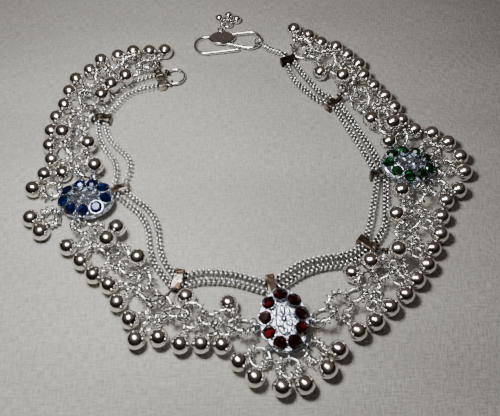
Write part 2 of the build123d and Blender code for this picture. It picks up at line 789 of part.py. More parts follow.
def stone_frames():
    """Planes on the collets' lips round a medallion's face, the first at its inner end: Z out."""
    oval = EllipticalCenterArc(
        (0, 0), STONE_RING_LENGTH / 2, STONE_RING_WIDTH / 2, start_angle=180, arc_size=360
    )
    frames = []
    for number in range(STONE_COUNT):
        along = oval % (number / STONE_COUNT)
        axis = lean(along.cross(UP), 90 - STONE_TILT)
        origin = oval @ (number / STONE_COUNT) + UP * LIP_HEIGHT
        frames.append(Plane(origin=origin, x_dir=along, z_dir=axis))
    return frames


def build_stone():
    """A round stone: table, eight main and eight girdle facets, eight-sided pavilion."""
    apothem = STONE_DIAMETER / 2 * cos(pi / 16)
    cuts = []
    for turn, crown_taper, pavilion_taper in ((0, 48, 42), (22.5, 36, 48)):
        with BuildPart() as cut:
            for height, depth, taper in ((0.05, 0.62, crown_taper), (-0.05, -1.05, pavilion_taper)):
                with BuildSketch(Plane.XY.offset(height)):
                    RegularPolygon(apothem, 8, major_radius=False, rotation=turn)
                extrude(amount=depth, taper=taper)
            with BuildSketch(Plane.XY.offset(-0.05)):
                RegularPolygon(apothem, 8, major_radius=False, rotation=turn)
            extrude(amount=0.1)
        cuts.append(cut.part)
    with BuildPart() as stone:
        add(cuts[0])
        add(cuts[1], mode=Mode.INTERSECT)
    return stone.part


def build_leaf(length, width, height):
    """A pointed leaf lying along X, swelling to a ridge."""
    with BuildPart() as leaf:
        with BuildSketch():
            with BuildLine():
                ThreePointArc((-length / 2, 0), (0, width / 2), (length / 2, 0))
                ThreePointArc((length / 2, 0), (0, -width / 2), (-length / 2, 0))
            make_face()
        extrude(amount=height)
        chamfer(leaf.faces().sort_by(Axis.Z)[-1].edges(), height * 0.4)
    return leaf.part


def build_boss():
    """The raised oval in the middle of a medallion's face, with its spray of leaves."""
    large_leaf = build_leaf(3.4, 1.3, 0.7)
    small_leaf = build_leaf(2.3, 0.9, 0.6)
    with BuildPart() as boss:
        with BuildSketch():
            Ellipse(BOSS_LENGTH / 2, BOSS_WIDTH / 2)
        extrude(amount=BOSS_HEIGHT + 0.2)
        chamfer(boss.faces().sort_by(Axis.Z)[-1].edges(), 0.3)
        for way in (0, 180):
            with Locations(Location((0, 0, BOSS_HEIGHT), (0, 0, way))):
                with Locations((2.3, 0, 0)):
                    add(large_leaf)
                for side in (-1, 1):
                    with Locations(Location((1.25, side * 0.95, 0), (0, 0, side * 48))):
                        add(small_leaf)
        with Locations((0, 0, BOSS_HEIGHT + 0.1)):
            Sphere(0.8)
    return boss.part


def gallery_places():
    """Where the piercings go through a medallion's wall, each with its way out."""
    middle = EllipticalCenterArc(
        (0, 0), (PLATE_LENGTH - PLATE_WALL) / 2, (PLATE_WIDTH - PLATE_WALL) / 2,
        start_angle=180, arc_size=360,
    )
    shares = [(number + 0.5) / GALLERY_COUNT for number in range(GALLERY_COUNT)]
    low = UP * -0.2 * PLATE_THICKNESS
    return [at(middle @ share + low, (middle % share).cross(UP)) for share in shares]


def build_plain_setting():
    """The cast plate of a medallion: hollow, pierced wall, leaning collets, raised boss."""
    top = PLATE_THICKNESS / 2
    lips = [frame.location for frame in stone_frames()]
    ledges = [lip * Location((0, 0, -SEAT_DEPTH)) for lip in lips]
    boss = build_boss()
    hanging = (Align.CENTER, Align.CENTER, Align.MAX)
    standing = (Align.CENTER, Align.CENTER, Align.MIN)
    with BuildPart() as setting:
        with BuildSketch(Plane.XY.offset(-top)):
            Ellipse(PLATE_LENGTH / 2, PLATE_WIDTH / 2)
        extrude(amount=PLATE_THICKNESS)
        chamfer(setting.faces().sort_by(Axis.Z)[-1].edges(), 0.3)
        with Locations(*lips):
            Cylinder(SEAT_RADIUS + COLLET_WALL, COLLET_DEPTH, align=hanging)
        with Locations((0, 0, top - 0.2)):
            add(boss)
        with BuildSketch(Plane.XY.offset(-top)):
            Ellipse(PLATE_LENGTH / 2 - PLATE_WALL, PLATE_WIDTH / 2 - PLATE_WALL)
        extrude(amount=PLATE_THICKNESS - PLATE_WALL, mode=Mode.SUBTRACT)
        with Locations(*ledges):
            Cylinder(SEAT_RADIUS, 2.0, align=standing, mode=Mode.SUBTRACT)
            Cone(SEAT_FOOT, SEAT_OPENING, 1.0, align=hanging, mode=Mode.SUBTRACT)
            Cylinder(SEAT_FOOT, 2.0, align=hanging, mode=Mode.SUBTRACT)
        with Locations(*gallery_places()):
            Cylinder(GALLERY_RADIUS, 2 * PLATE_WALL, mode=Mode.SUBTRACT)
    return setting.part


def build_setting(medallion, plain, lugs):
    """A medallion's plate in its place, with the loops soldered to it."""
    with BuildPart() as setting:
        with Locations(medallion_frame(medallion).location):
            add(plain)
        add_lugs(lugs)
    return setting.part


def build_stones(medallion, stone):
    """The stones of a medallion, each in its seat."""
    place = medallion_frame(medallion).location
    girdle = Location((0, 0, -LIP_ABOVE_GIRDLE))
    with BuildPart() as stones:
        with Locations(*[place * frame.location * girdle for frame in stone_frames()]):
            add(stone)
    return stones.part


# --- ends of the band ------------------------------------------------------------------------
def catch_loops():
    """Loops of the two end caps and the catch ring that passes through both."""
    ends = [strand_end(side, False) for side in (-1, 1)]
    way = unit(ends[0].x_dir + ends[1].x_dir)
    eyes = [end.origin + end.x_dir * END_EYE_OUT for end in ends]
    half = (eyes[1] - eyes[0]).length / 2
    centre = (eyes[0] + eyes[1]) * 0.5 + way * sqrt(CATCH_RING_RADIUS**2 - half**2)
    lugs = [
        Lug(eye, (eye - centre).cross(UP), end.origin + end.x_dir * 0.65)
        for eye, end in zip(eyes, ends)
    ]
    return lugs, Ring(centre, UP, CATCH_RING_RADIUS, CATCH_RING_WIRE)


def joint_cap_eye():
    """Loop on the joint cap that holds the chain."""
    frame = joint_cap_frame()
    centre = frame.origin + frame.x_dir * CAP_EYE_OUT
    return Lug(centre, frame.y_dir, frame.origin + frame.x_dir * CAP_ROOT)


def build_hook_line():
    """Middle line of the clasp hook's wire."""
    low, high = min(x for x, _, _ in HOOK_CORNERS), max(x for x, _, _ in HOOK_CORNERS)
    points = [
        Vector(x, y, HOOK_LOW + (HOOK_HIGH - HOOK_LOW) * (x - low) / (high - low)) - MIDDLE
        for x, y, _ in HOOK_CORNERS
    ]
    with BuildLine() as line:
        FilletPolyline(*points, radius=[radius for _, _, radius in HOOK_CORNERS[1:-1]])
    return line.wires()[0]


def build_clasp_chain():
    """The short rope chain between the joint cap and the hook, a loop at each end."""
    cap_eye = joint_cap_eye()
    start = cap_eye.centre + joint_cap_frame().x_dir * LUG_RADIUS
    hook = build_hook_line()
    held = hook @ CHAIN_HOLD
    normal = unit(hook % CHAIN_HOLD)
    toward = unit(UP.cross(normal))
    if toward.dot(start - held) < 0:
        toward = toward * -1
    eye = held + UP * (CHAIN_EYE_RADIUS + LUG_WIRE / 2 + 0.05 - held.Z)
    finish = eye + toward * CHAIN_EYE_RADIUS - UP * 0.35
    corner = finish + toward * CHAIN_RISE
    corner = Vector(corner.X, corner.Y, start.Z)
    begin = start + unit(corner - start) * LUG_RADIUS
    with BuildPart() as chain:
        with BuildLine() as route:
            FilletPolyline(begin, corner, finish, radius=CHAIN_BEND)
        line = route.wires()[0]
        with BuildSketch(Plane(origin=line @ 0, z_dir=line % 0)):
            Circle(CHAIN_WIDTH / 2)
        sweep(path=line)
        with Locations(at(start, UP)):
            Torus(LUG_RADIUS, LUG_WIRE / 2)
        with Locations(at(eye, normal)):
            Torus(CHAIN_EYE_RADIUS, LUG_WIRE / 2)
    section = pi * CHAIN_WIDTH**2 / 4
    print(f"clasp chain: length {line.length:.2f}, bend radius {CHAIN_BEND}, section {section:.2f}")
    return chain.part


def leaf_eye():
    """Loop on the hook's leaf that holds the small rings."""
    x, y = HOOK_LEAF_PLACE
    centre = Vector(x - 0.5, y + 3.75, HOOK_LEAF_HEIGHT + 0.55) - MIDDLE
    return Lug(centre, UP, Vector(x - 0.2, y + 2.4, HOOK_LEAF_HEIGHT + 0.45) - MIDDLE)


def build_clasp_hook():
    """The wire hook with its leaf-shaped thumb plate."""
    line = build_hook_line()
    leaf = build_leaf(HOOK_LEAF_LENGTH, HOOK_LEAF_WIDTH, 0.8)
    with BuildPart() as hook:
        with BuildSketch(Plane(origin=line @ 0, z_dir=line % 0)):
            Circle(HOOK_WIRE / 2)
        sweep(path=line)
        with Locations(line @ 0, line @ 1):
            Sphere(HOOK_WIRE / 2)
        with Locations(Location(Vector(*HOOK_LEAF_PLACE, HOOK_LEAF_HEIGHT) - MIDDLE, (0, 0, 4))):
            add(leaf)
        add_lugs([leaf_eye()])
    print(f"hook: length {line.length:.1f}, wire {HOOK_WIRE}")
    return hook.part


def clasp_drop():
    """The two small rings and three small bells that hang from the hook's leaf."""
    radius = CLASP_RING_RADIUS
    eye = leaf_eye()
    way = Vector(cos(radians(57)), sin(radians(57)), 0)
    upright = Ring(eye.centre + lean(way, 12) * radius, way.cross(UP), radius, DROP_RING_WIRE)
    hooked = upright.centre + lean(way, -20) * radius
    centre = hooked + way * (hooked_reach(radius, DROP_RING_WIRE, DROP_RING_WIRE) - 0.08)
    flat = Ring(centre, UP, radius, DROP_RING_WIRE)
    bells = []
    for swing in CLASP_BELL_SWINGS:
        out = turned(way, UP, swing)
        bells.append(Bell(centre + out * (radius + SMALL_BELL_REACH), out * -1, out.cross(UP)))
    return [upright, flat], bells


# --- everything in its place -----------------------------------------------------------------
def plate_points(medallion):
    """Points through a medallion's plate and stones, a little in from its edge."""
    frame = medallion_frame(medallion)
    long, wide = PLATE_LENGTH / 2 - 0.4, PLATE_WIDTH / 2 - 0.4
    spots = [
        frame.from_local_coords(Vector(float(x), float(y), height))
        for x in np.arange(-long, long + 0.1, 0.6)
        for y in np.arange(-wide, wide + 0.1, 0.6)
        for height in (0.0, 0.8, 1.6)
        if (x / long) ** 2 + (y / wide) ** 2 <= 1
    ]
    return np.array([[*spot] for spot in spots])


def strand_points(side):
    """Points along the middle of a strand."""
    points, radii = strand_route(side)
    with BuildLine() as route:
        FilletPolyline(*points, radius=radii)
    line = route.wires()[0]
    count = int(line.length / 0.5)
    return np.array([[*(line @ (number / count))] for number in range(count + 1)])


def block_points(plane, length, width, height):
    """Points through a clip or a cap."""
    spots = [
        plane.from_local_coords(Vector(float(x), float(y), float(z)))
        for x in np.linspace(-length / 2 + 0.4, length / 2 - 0.4, 5)
        for y in np.linspace(-width / 2 + 0.4, width / 2 - 0.4, 9)
        for z in np.linspace(0.4, height - 0.4, 4)
    ]
    return np.array([[*spot] for spot in spots])


def save(name, part):
    """Label a finished piece and write it."""
    part.label = name
    export_step(part, f"parts/{name}.step")
    print(f"{name}: {len(part.solids())} solid(s), {part.volume:.1f} cubic mm")


space = Space()
soldered = {}                 # name of each piece with loops: its loops
for row in (1, 3, 5, 7):
    for owner, lug in row_lugs(row):
        soldered.setdefault(owner, []).append(lug)
for medallion in MEDALLIONS:
    clip_lug, plate_lug, link = joint_link(medallion)
    fan_lugs, fan_rings, fan_bells = fan_pieces(medallion)
    soldered.setdefault(medallion.joint, []).append(clip_lug)
    soldered.setdefault(medallion.name + "_setting", []).extend([plate_lug, *fan_lugs])
    space.add(plate_points(medallion), 0.7)
    space.add_all(ring_shape(ring) for ring in [link, *fan_rings])
    for bell in fan_bells:
        space.add_all(bell_shapes(bell))
catch_lugs, catch_ring = catch_loops()
soldered.setdefault("end_cap_inner", []).append(catch_lugs[0])
soldered.setdefault("end_cap_outer", []).append(catch_lugs[1])
soldered.setdefault("joint_cap", []).append(joint_cap_eye())
for lugs in soldered.values():
    for lug in lugs:
        space.add_all(lug_shapes(lug))
space.add_all([ring_shape(catch_ring)])
for side in (-1, 1):
    space.add(strand_points(side), 1.02)
for index, junction in enumerate(JUNCTIONS):
    if junction.clip_length:
        space.add(block_points(clip_plane(index), junction.clip_length, CLIP_WIDTH, CLIP_HEIGHT), 0.4)
for row in (1, 3, 5, 7):
    space.add_all(ring_shape(row_ring.ring) for row_ring in row_rings(row)[0])

tunnels = [build_strand(side, GAP) for side in (-1, 1)]
save("strand_inner", build_strand(-1))
save("strand_outer", build_strand(1))
for index, junction in enumerate(JUNCTIONS):
    if junction.clip_length:
        name = junction.name + "_clip" if "joint" in junction.name else junction.name
        save(name, build_clip(index, tunnels, soldered[junction.name]))
save("end_cap_inner", build_end_cap(-1, soldered["end_cap_inner"]))
save("end_cap_outer", build_end_cap(1, soldered["end_cap_outer"]))
save("catch_ring", build_rings([catch_ring]))
save("joint_cap", build_joint_cap(soldered["joint_cap"]))
save("clasp_chain", build_clasp_chain())
save("clasp_hook", build_clasp_hook())
clasp_rings, clasp_bells = clasp_drop()
save("clasp_rings", build_rings(clasp_rings))
small_bell = (SMALL_BELL_RADIUS, SMALL_BELL_REACH, SMALL_EYE_RADIUS, SMALL_EYE_WIRE)
save("clasp_bells", build_bells(clasp_bells, *small_bell))
stone = build_stone()
plain_setting = build_plain_setting()
for medallion in MEDALLIONS:
    name = medallion.name
    _, _, link = joint_link(medallion)
    _, fan_rings, fan_bells = fan_pieces(medallion)
    save(f"{name}_setting", build_setting(medallion, plain_setting, soldered[f"{name}_setting"]))
    save(f"{name}_stones", build_stones(medallion, stone))
    save(f"{name}_link", build_rings([link]))
    save(f"{name}_fan_rings", build_rings(fan_rings))
    save(f"{name}_fan_bells", build_bells(fan_bells))
for number, row in enumerate((1, 3, 5, 7), start=1):
    drop_rings, bells = row_fringe(row, space)
    save(f"row_{number}_rings", build_rings([row_ring.ring for row_ring in row_rings(row)[0]]))
    save(f"row_{number}_drop_rings", build_rings(drop_rings))
    save(f"row_{number}_bells", build_bells(bells))
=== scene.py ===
"""Silver payal anklet lying open on pale paper: woven strands, ringed fringe, bells and medallions.

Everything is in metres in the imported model's own frame: X right, Y away, Z up from the surface.
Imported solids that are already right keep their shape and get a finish. The woven strands and the
rope chain of the clasp replace plain solids of the same section. Spare small rings, too many for
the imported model, are added to the fringe.
"""

import json
import logging
import math
from dataclasses import dataclass, field
from enum import Enum

import bpy
import numpy as np
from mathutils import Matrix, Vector
from mathutils.bvhtree import BVHTree


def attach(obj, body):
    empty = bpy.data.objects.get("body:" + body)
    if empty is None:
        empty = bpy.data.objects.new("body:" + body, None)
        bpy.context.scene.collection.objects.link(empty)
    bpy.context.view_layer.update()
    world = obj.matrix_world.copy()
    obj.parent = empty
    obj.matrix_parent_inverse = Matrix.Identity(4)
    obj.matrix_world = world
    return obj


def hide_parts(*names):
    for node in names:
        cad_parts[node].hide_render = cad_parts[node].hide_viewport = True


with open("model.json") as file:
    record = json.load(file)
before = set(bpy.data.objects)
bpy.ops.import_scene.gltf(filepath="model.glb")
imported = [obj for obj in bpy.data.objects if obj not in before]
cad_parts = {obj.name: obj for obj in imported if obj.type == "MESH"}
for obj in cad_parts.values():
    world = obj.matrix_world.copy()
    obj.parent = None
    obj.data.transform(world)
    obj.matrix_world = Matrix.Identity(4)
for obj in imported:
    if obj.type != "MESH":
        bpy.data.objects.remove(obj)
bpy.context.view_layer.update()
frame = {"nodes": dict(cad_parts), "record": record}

log = logging.getLogger("anklet")
MM = 0.001
ROOT = "root"
Array = np.ndarray
Colour = tuple[float, float, float]
Place = tuple[float, float, float]
UP = np.array([0.0, 0.0, 1.0])
NEARLY_UPRIGHT = 0.9  # an axis whose Z is larger needs a helper other than up
MIX_FIRST, MIX_SECOND, MIX_RESULT = 6, 7, 2  # colour sockets of a Mix node


# --- small helpers on whole arrays ------------------------------------------------------------
def unit(vectors: Array) -> Array:
    """Each row of an array as a direction.

    Args:
        vectors: any array whose last axis is X, Y, Z.

    Returns:
        The same array with every vector divided by its length.
    """
    return vectors / np.linalg.norm(vectors, axis=-1, keepdims=True)


def squared(wave: Array, fullness: float = 0.75) -> Array:
    """A cosine or sine wave made fuller, so that an oval drawn with it has squarer corners.

    Args:
        wave: values from -1 to 1.
        fullness: power that their size is raised to, 1 for a true oval.

    Returns:
        Values of the same signs.
    """
    return np.sign(wave) * np.abs(wave) ** fullness


def rounded(corners: Array, radii: list[float], spacing: float = 0.05, fewest: int = 4) -> Array:
    """Points along straight runs joined by arcs tangent to both.

    An arc starts before its corner by its radius times the tangent of half the turn. Its points are
    that start plus the radius times (way in times sine of the share, and way to the arc's middle
    times one minus cosine of the share).

    Args:
        corners: corner points shaped (n, 3).
        radii: the arcs' radii at all corners but the first and last.
        spacing: distance between points on an arc.
        fewest: points on the shortest arc.

    Returns:
        Points shaped (m, 3), in order.
    """
    ways = unit(np.diff(corners, axis=0))
    path = [corners[:1]]
    for corner, way, onward, radius in zip(corners[1:-1], ways[:-1], ways[1:], radii):
        turn = math.acos(min(float(way @ onward), 1.0))
        start = corner - way * radius * math.tan(turn / 2)
        inward = unit(onward - way * (way @ onward))
        share = np.linspace(0, turn, max(int(radius * turn / spacing), fewest))[:, None]
        path.append(start + radius * (way * np.sin(share) + inward * (1 - np.cos(share))))
    return np.vstack([*path, corners[-1:]])


def closed_tubes(
    paths: Array, radius: float, sides: int, side: Array | None = None
) -> tuple[Array, Array]:
    """Round wires along closed paths.

    A ring of points is carried along each path: the path's point plus radius times (cosine of the
    turn times the path's outward side plus sine of the turn times the square of side and tangent).

    Args:
        paths: closed paths, shaped (tubes, steps, 3), the last point next to the first.
        radius: the wire's radius.
        sides: points round the wire.
        side: a side direction at each point; without it, away from the path's middle.

    Returns:
        Vertices shaped (n, 3) and quads shaped (m, 4).
    """
    tubes, steps, _ = paths.shape
    tangent = unit(np.roll(paths, -1, axis=1) - np.roll(paths, 1, axis=1))
    outward = unit(paths - paths.mean(axis=1, keepdims=True)) if side is None else side
    binormal = unit(np.cross(tangent, outward))
    outward = np.cross(binormal, tangent)
    turn = np.linspace(0, 2 * np.pi, sides, endpoint=False)
    ring = (
        outward[:, :, None, :] * np.cos(turn)[:, None]
        + binormal[:, :, None, :] * np.sin(turn)[:, None]
    )
    vertices = (paths[:, :, None, :] + radius * ring).reshape(-1, 3)
    index = np.arange(tubes * steps * sides).reshape(tubes, steps, sides)
    ahead, beside = np.roll(index, -1, axis=1), np.roll(index, -1, axis=2)
    corner = np.roll(ahead, -1, axis=2)
    quads = np.stack([index, beside, corner, ahead], axis=-1).reshape(-1, 4)
    return vertices, quads


def circles(centres: Array, normals: Array, radius: float, steps: int) -> Array:
    """Circles of one radius: centre plus radius times (cosine times side plus sine times other side).

    Args:
        centres: middles shaped (n, 3).
        normals: axes shaped (n, 3).
        radius: radius of every circle.
        steps: points on each circle.

    Returns:
        Closed paths shaped (n, steps, 3).
    """
    normals = unit(normals)
    helper = np.where(np.abs(normals[:, 2:]) > NEARLY_UPRIGHT, [[1.0, 0.0, 0.0]], UP[None])
    side = unit(np.cross(helper, normals))
    other = np.cross(normals, side)
    turn = np.linspace(0, 2 * np.pi, steps, endpoint=False)[:, None]
    loops = side[:, None, :] * np.cos(turn) + other[:, None, :] * np.sin(turn)
    return centres[:, None, :] + radius * loops


def join(parts: list[tuple[Array, Array]]) -> tuple[Array, Array]:
    """Several meshes of quads as one.

    Args:
        parts: vertices and quads of each mesh.

    Returns:
        All vertices and all quads, with the quads' numbers moved on.
    """
    starts = np.cumsum([0, *[len(vertices) for vertices, _ in parts[:-1]]])
    quads = [faces + start for (_, faces), start in zip(parts, starts)]
    return np.vstack([vertices for vertices, _ in parts]), np.vstack(quads)


def mesh_piece(
    name: str, vertices: Array, quads: Array, material: bpy.types.Material
) -> bpy.types.Object:
    """A new smooth piece from arrays, riding on the anklet.

    Args:
        name: the piece's name.
        vertices: points in metres.
        quads: faces as rows of four vertex numbers, facing outwards.
        material: its finish.

    Returns:
        The new object, at the origin.
    """
    mesh = bpy.data.meshes.new(name)
    mesh.vertices.add(len(vertices))
    mesh.vertices.foreach_set("co", np.ascontiguousarray(vertices, np.float32).ravel())
    mesh.loops.add(quads.size)
    mesh.loops.foreach_set("vertex_index", np.ascontiguousarray(quads, np.int32).ravel())
    mesh.polygons.add(len(quads))
    mesh.polygons.foreach_set("loop_start", np.arange(0, quads.size, quads.shape[1], dtype=np.int32))
    mesh.polygons.foreach_set("use_smooth", np.ones(len(quads), bool))
    mesh.update(calc_edges=True)
    mesh.validate()
    mesh.materials.append(material)
    piece = bpy.data.objects.new(name, mesh)
    bpy.context.scene.collection.objects.link(piece)
    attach(piece, ROOT)
    return piece


def world_points(piece: bpy.types.Object) -> Array:
    """A piece's vertices in the shared frame.

    Args:
        piece: any mesh object.

    Returns:
        Points in metres, shaped (n, 3).
    """
    flat = np.empty(len(piece.data.vertices) * 3)
    piece.data.vertices.foreach_get("co", flat)
    matrix = np.array(piece.matrix_world)
    return flat.reshape(-1, 3) @ matrix[:3, :3].T + matrix[:3, 3]


def solid_faces() -> BVHTree:
    """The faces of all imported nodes, ready to be searched for the nearest one.

    Returns:
        A search tree in metres in the shared frame.
    """
    points, faces, start = [], [], 0
    for node in frame["nodes"].values():
        mesh = node.data
        mesh.calc_loop_triangles()
        corners = np.empty(len(mesh.loop_triangles) * 3, np.int32)
        mesh.loop_triangles.foreach_get("vertices", corners)
        faces.append(corners.reshape(-1, 3) + start)
        points.append(world_points(node))
        start += len(mesh.vertices)
    return BVHTree.FromPolygons(np.vstack(points).tolist(), np.vstack(faces).tolist())


# --- finishes ---------------------------------------------------------------------------------
class Tone(Enum):
    """Tints of the metals and the paper, and colours of painted shade and painted reflection, as linear
    red, green and blue.
    """

    WIRE = (0.89, 0.89, 0.89)
    BELL = (0.82, 0.79, 0.76)
    SHEET = (0.50, 0.46, 0.42)
    # dark brown patches of clips and spacers: partly stain, partly a painted reflection of the dark
    # room
    SHEET_STAIN_AND_REFLECTION = (0.050, 0.035, 0.026)
    WOVEN = (0.95, 0.96, 0.97)
    CAST = (0.48, 0.54, 0.64)
    TARNISH = (0.42, 0.38, 0.34)
    # painted shade: the colour metal darkens to where other metal is close, partly oxide in hollows
    SHADE_AND_OXIDE = (0.06, 0.055, 0.05)
    PAPER = (0.60, 0.59, 0.555)
    PAPER_SHADE = (0.47, 0.46, 0.43)
    FIBRE = (0.24, 0.23, 0.21)


class NodeSheet:
    """A material's nodes, laid down one at a time."""

    def __init__(self, name: str) -> None:
        """Starts an empty material with a Principled surface."""
        self.material = bpy.data.materials.new(name)
        self.material.use_nodes = True
        self.tree = self.material.node_tree
        self.surface = self.tree.nodes["Principled BSDF"]

    def node(self, kind: str, **settings: object) -> bpy.types.Node:
        """One node with its settings.

        Args:
            kind: Blender's name of the node type.
            settings: properties by name, and inputs as in_NAME.

        Returns:
            The new node.
        """
        made = self.tree.nodes.new(kind)
        for key, value in settings.items():
            if key.startswith("in_"):
                made.inputs[key[3:].replace("_", " ")].default_value = value
            else:
                setattr(made, key, value)
        return made

    def link(self, source: bpy.types.NodeSocket, target: bpy.types.NodeSocket) -> None:
        """Joins an output to an input."""
        self.tree.links.new(source, target)

    def noise(self, scale: float, detail: float, stretch: Place = (1, 1, 1)) -> bpy.types.NodeSocket:
        """Noise on the piece's own coordinates.

        Args:
            scale: features per metre.
            detail: octaves.
            stretch: scale along X, Y and Z.

        Returns:
            The noise's value, from 0 to 1.
        """
        place = self.node("ShaderNodeTexCoord")
        mapping = self.node("ShaderNodeMapping", in_Scale=stretch)
        self.link(place.outputs["Object"], mapping.inputs["Vector"])
        pattern = self.node("ShaderNodeTexNoise", in_Scale=scale, in_Detail=detail)
        self.link(mapping.outputs["Vector"], pattern.inputs["Vector"])
        return pattern.outputs["Fac"]

    def spread(
        self,
        source: bpy.types.NodeSocket,
        low: float,
        high: float,
        band: tuple[float, float] = (0.3, 0.7),
    ) -> bpy.types.NodeSocket:
        """A value whose band is spread from low to high.

        Args:
            source: a noise or another value from 0 to 1.
            low: the value at and below the band's start.
            high: the value at and above the band's end.
            band: start and end of the band, from 0 to 1.

        Returns:
            The spread value.
        """
        node = self.node("ShaderNodeMapRange")
        node.inputs["From Min"].default_value = band[0]
        node.inputs["From Max"].default_value = band[1]
        node.inputs["To Min"].default_value = low
        node.inputs["To Max"].default_value = high
        self.link(source, node.inputs["Value"])
        return node.outputs["Result"]

    def mix(
        self, factor: bpy.types.NodeSocket, first: Colour | bpy.types.NodeSocket, second: Colour
    ) -> bpy.types.NodeSocket:
        """Two colours mixed by a factor.

        Args:
            factor: from 0, all first, to 1, all second.
            first: a plain colour or another node's output.
            second: a plain colour.

        Returns:
            The mixed colour.
        """
        node = self.node("ShaderNodeMix", data_type="RGBA")
        if isinstance(first, bpy.types.NodeSocket):
            self.link(first, node.inputs[MIX_FIRST])
        else:
            node.inputs[MIX_FIRST].default_value = (*first, 1)
        node.inputs[MIX_SECOND].default_value = (*second, 1)
        self.link(factor, node.inputs[0])
        return node.outputs[MIX_RESULT]

    def bump(
        self, height: bpy.types.NodeSocket, depth: float, strength: float, rounding: float = 0.0
    ) -> None:
        """Raises the surface by a height map and softens its edges.

        Args:
            height: the map, from 0 to 1.
            depth: metres from 0 to 1.
            strength: share of the map that shows.
            rounding: radius that sharp edges are shaded with, in metres, or 0 for none.
        """
        node = self.node("ShaderNodeBump")
        node.inputs["Strength"].default_value = strength
        node.inputs["Distance"].default_value = depth
        self.link(height, node.inputs["Height"])
        if rounding:
            edge = self.node("ShaderNodeBevel", samples=4, in_Radius=rounding)
            self.link(edge.outputs["Normal"], node.inputs["Normal"])
        self.link(node.outputs["Normal"], self.surface.inputs["Normal"])


@dataclass(frozen=True)
class Silver:
    """A silver finish: tint, polish, stain in patches, painted shade (partly oxide) between close
    parts, and fine surface grain.

    Patch, polish and grain are features per metre. Tarnish and shade_and_oxide are the largest share of
    the darker colour, and a band is the range of the noise, or of the open sky seen, over which it
    sets in. Where little open sky is seen, the tint is darkened as painted shade, which partly stands
    for oxide in the hollows. Roughness varies by the factors in polish_range.
    """

    name: str
    tone: Tone
    roughness: float
    metallic: float = 1.0
    tarnish: float = 0.15
    stain: Tone = Tone.TARNISH
    patch: float = 140.0
    patch_band: tuple[float, float] = (0.3, 0.7)
    # painted shade between close parts, partly oxide in hollows: its largest share, reach and band
    shade_and_oxide: float = 0.65
    shade_and_oxide_reach: float = 1.5 * MM
    shade_and_oxide_band: tuple[float, float] = (0.15, 0.8)
    polish: float = 500.0
    polish_range: tuple[float, float] = (0.7, 1.4)
    grain: float = 900.0
    grain_depth: float = 0.02 * MM
    grain_strength: float = 0.6
    rounding: float = 0.0

    def material(self) -> bpy.types.Material:
        """Builds the finish.

        Returns:
            Metal whose tint goes towards its stain in patches and darkens with painted shade, partly
            oxide, where other metal is close, and whose roughness varies with noise.
        """
        sheet = NodeSheet(self.name)
        patches = sheet.spread(sheet.noise(self.patch, 3.0), 0.0, self.tarnish, self.patch_band)
        # painted shade: the base colour darkens where little open sky is seen, partly oxide in hollows
        open_sky = sheet.node("ShaderNodeAmbientOcclusion", samples=6, in_Distance=self.shade_and_oxide_reach)
        shade_and_oxide_share = sheet.spread(open_sky.outputs["AO"], self.shade_and_oxide, 0.0, self.shade_and_oxide_band)
        tint = sheet.mix(patches, self.tone.value, self.stain.value)
        sheet.link(sheet.mix(shade_and_oxide_share, tint, Tone.SHADE_AND_OXIDE.value), sheet.surface.inputs["Base Color"])
        smooth, dull = (self.roughness * share for share in self.polish_range)
        polish = sheet.spread(sheet.noise(self.polish, 2.0), smooth, dull)
        sheet.link(polish, sheet.surface.inputs["Roughness"])
        sheet.surface.inputs["Metallic"].default_value = self.metallic
        sheet.bump(sheet.noise(self.grain, 3.0), self.grain_depth, self.grain_strength, self.rounding)
        return sheet.material


@dataclass(frozen=True)
class Stone:
    """A foil-backed faceted stone: deep colour with painted glints, brighter cells of colour inside.

    Cell is the painted glints' scale per metre, painted_glints the share of them that is bright, and
    foil how much the stone mirrors like the metal behind it.
    """

    name: str
    deep: Colour
    # colour of the painted glints
    bright: Colour
    painted_glints: float = 0.35
    cell: float = 900.0
    foil: float = 0.55
    roughness: float = 0.12
    index: float = 1.6
    coat: float = 0.25
    coat_roughness: float = 0.03

    def material(self) -> bpy.types.Material:
        """Builds the finish.

        Returns:
            Glossy coloured stone whose painted glints follow small cells inside it.
        """
        sheet = NodeSheet(self.name)
        # painted glints: Voronoi cells pick where the base colour turns from deep to bright
        place = sheet.node("ShaderNodeTexCoord")
        cells = sheet.node("ShaderNodeTexVoronoi", in_Scale=self.cell)
        sheet.link(place.outputs["Object"], cells.inputs["Vector"])
        split = sheet.node("ShaderNodeSeparateColor")
        sheet.link(cells.outputs["Color"], split.inputs["Color"])
        painted_glints = sheet.spread(split.outputs[0], 0.0, 1.0, (1 - self.painted_glints, 1.0))
        sheet.link(sheet.mix(painted_glints, self.deep, self.bright), sheet.surface.inputs["Base Color"])
        sheet.surface.inputs["Metallic"].default_value = self.foil
        sheet.surface.inputs["Roughness"].default_value = self.roughness
        sheet.surface.inputs["IOR"].default_value = self.index
        sheet.surface.inputs["Coat Weight"].default_value = self.coat
        sheet.surface.inputs["Coat Roughness"].default_value = self.coat_roughness
        return sheet.material


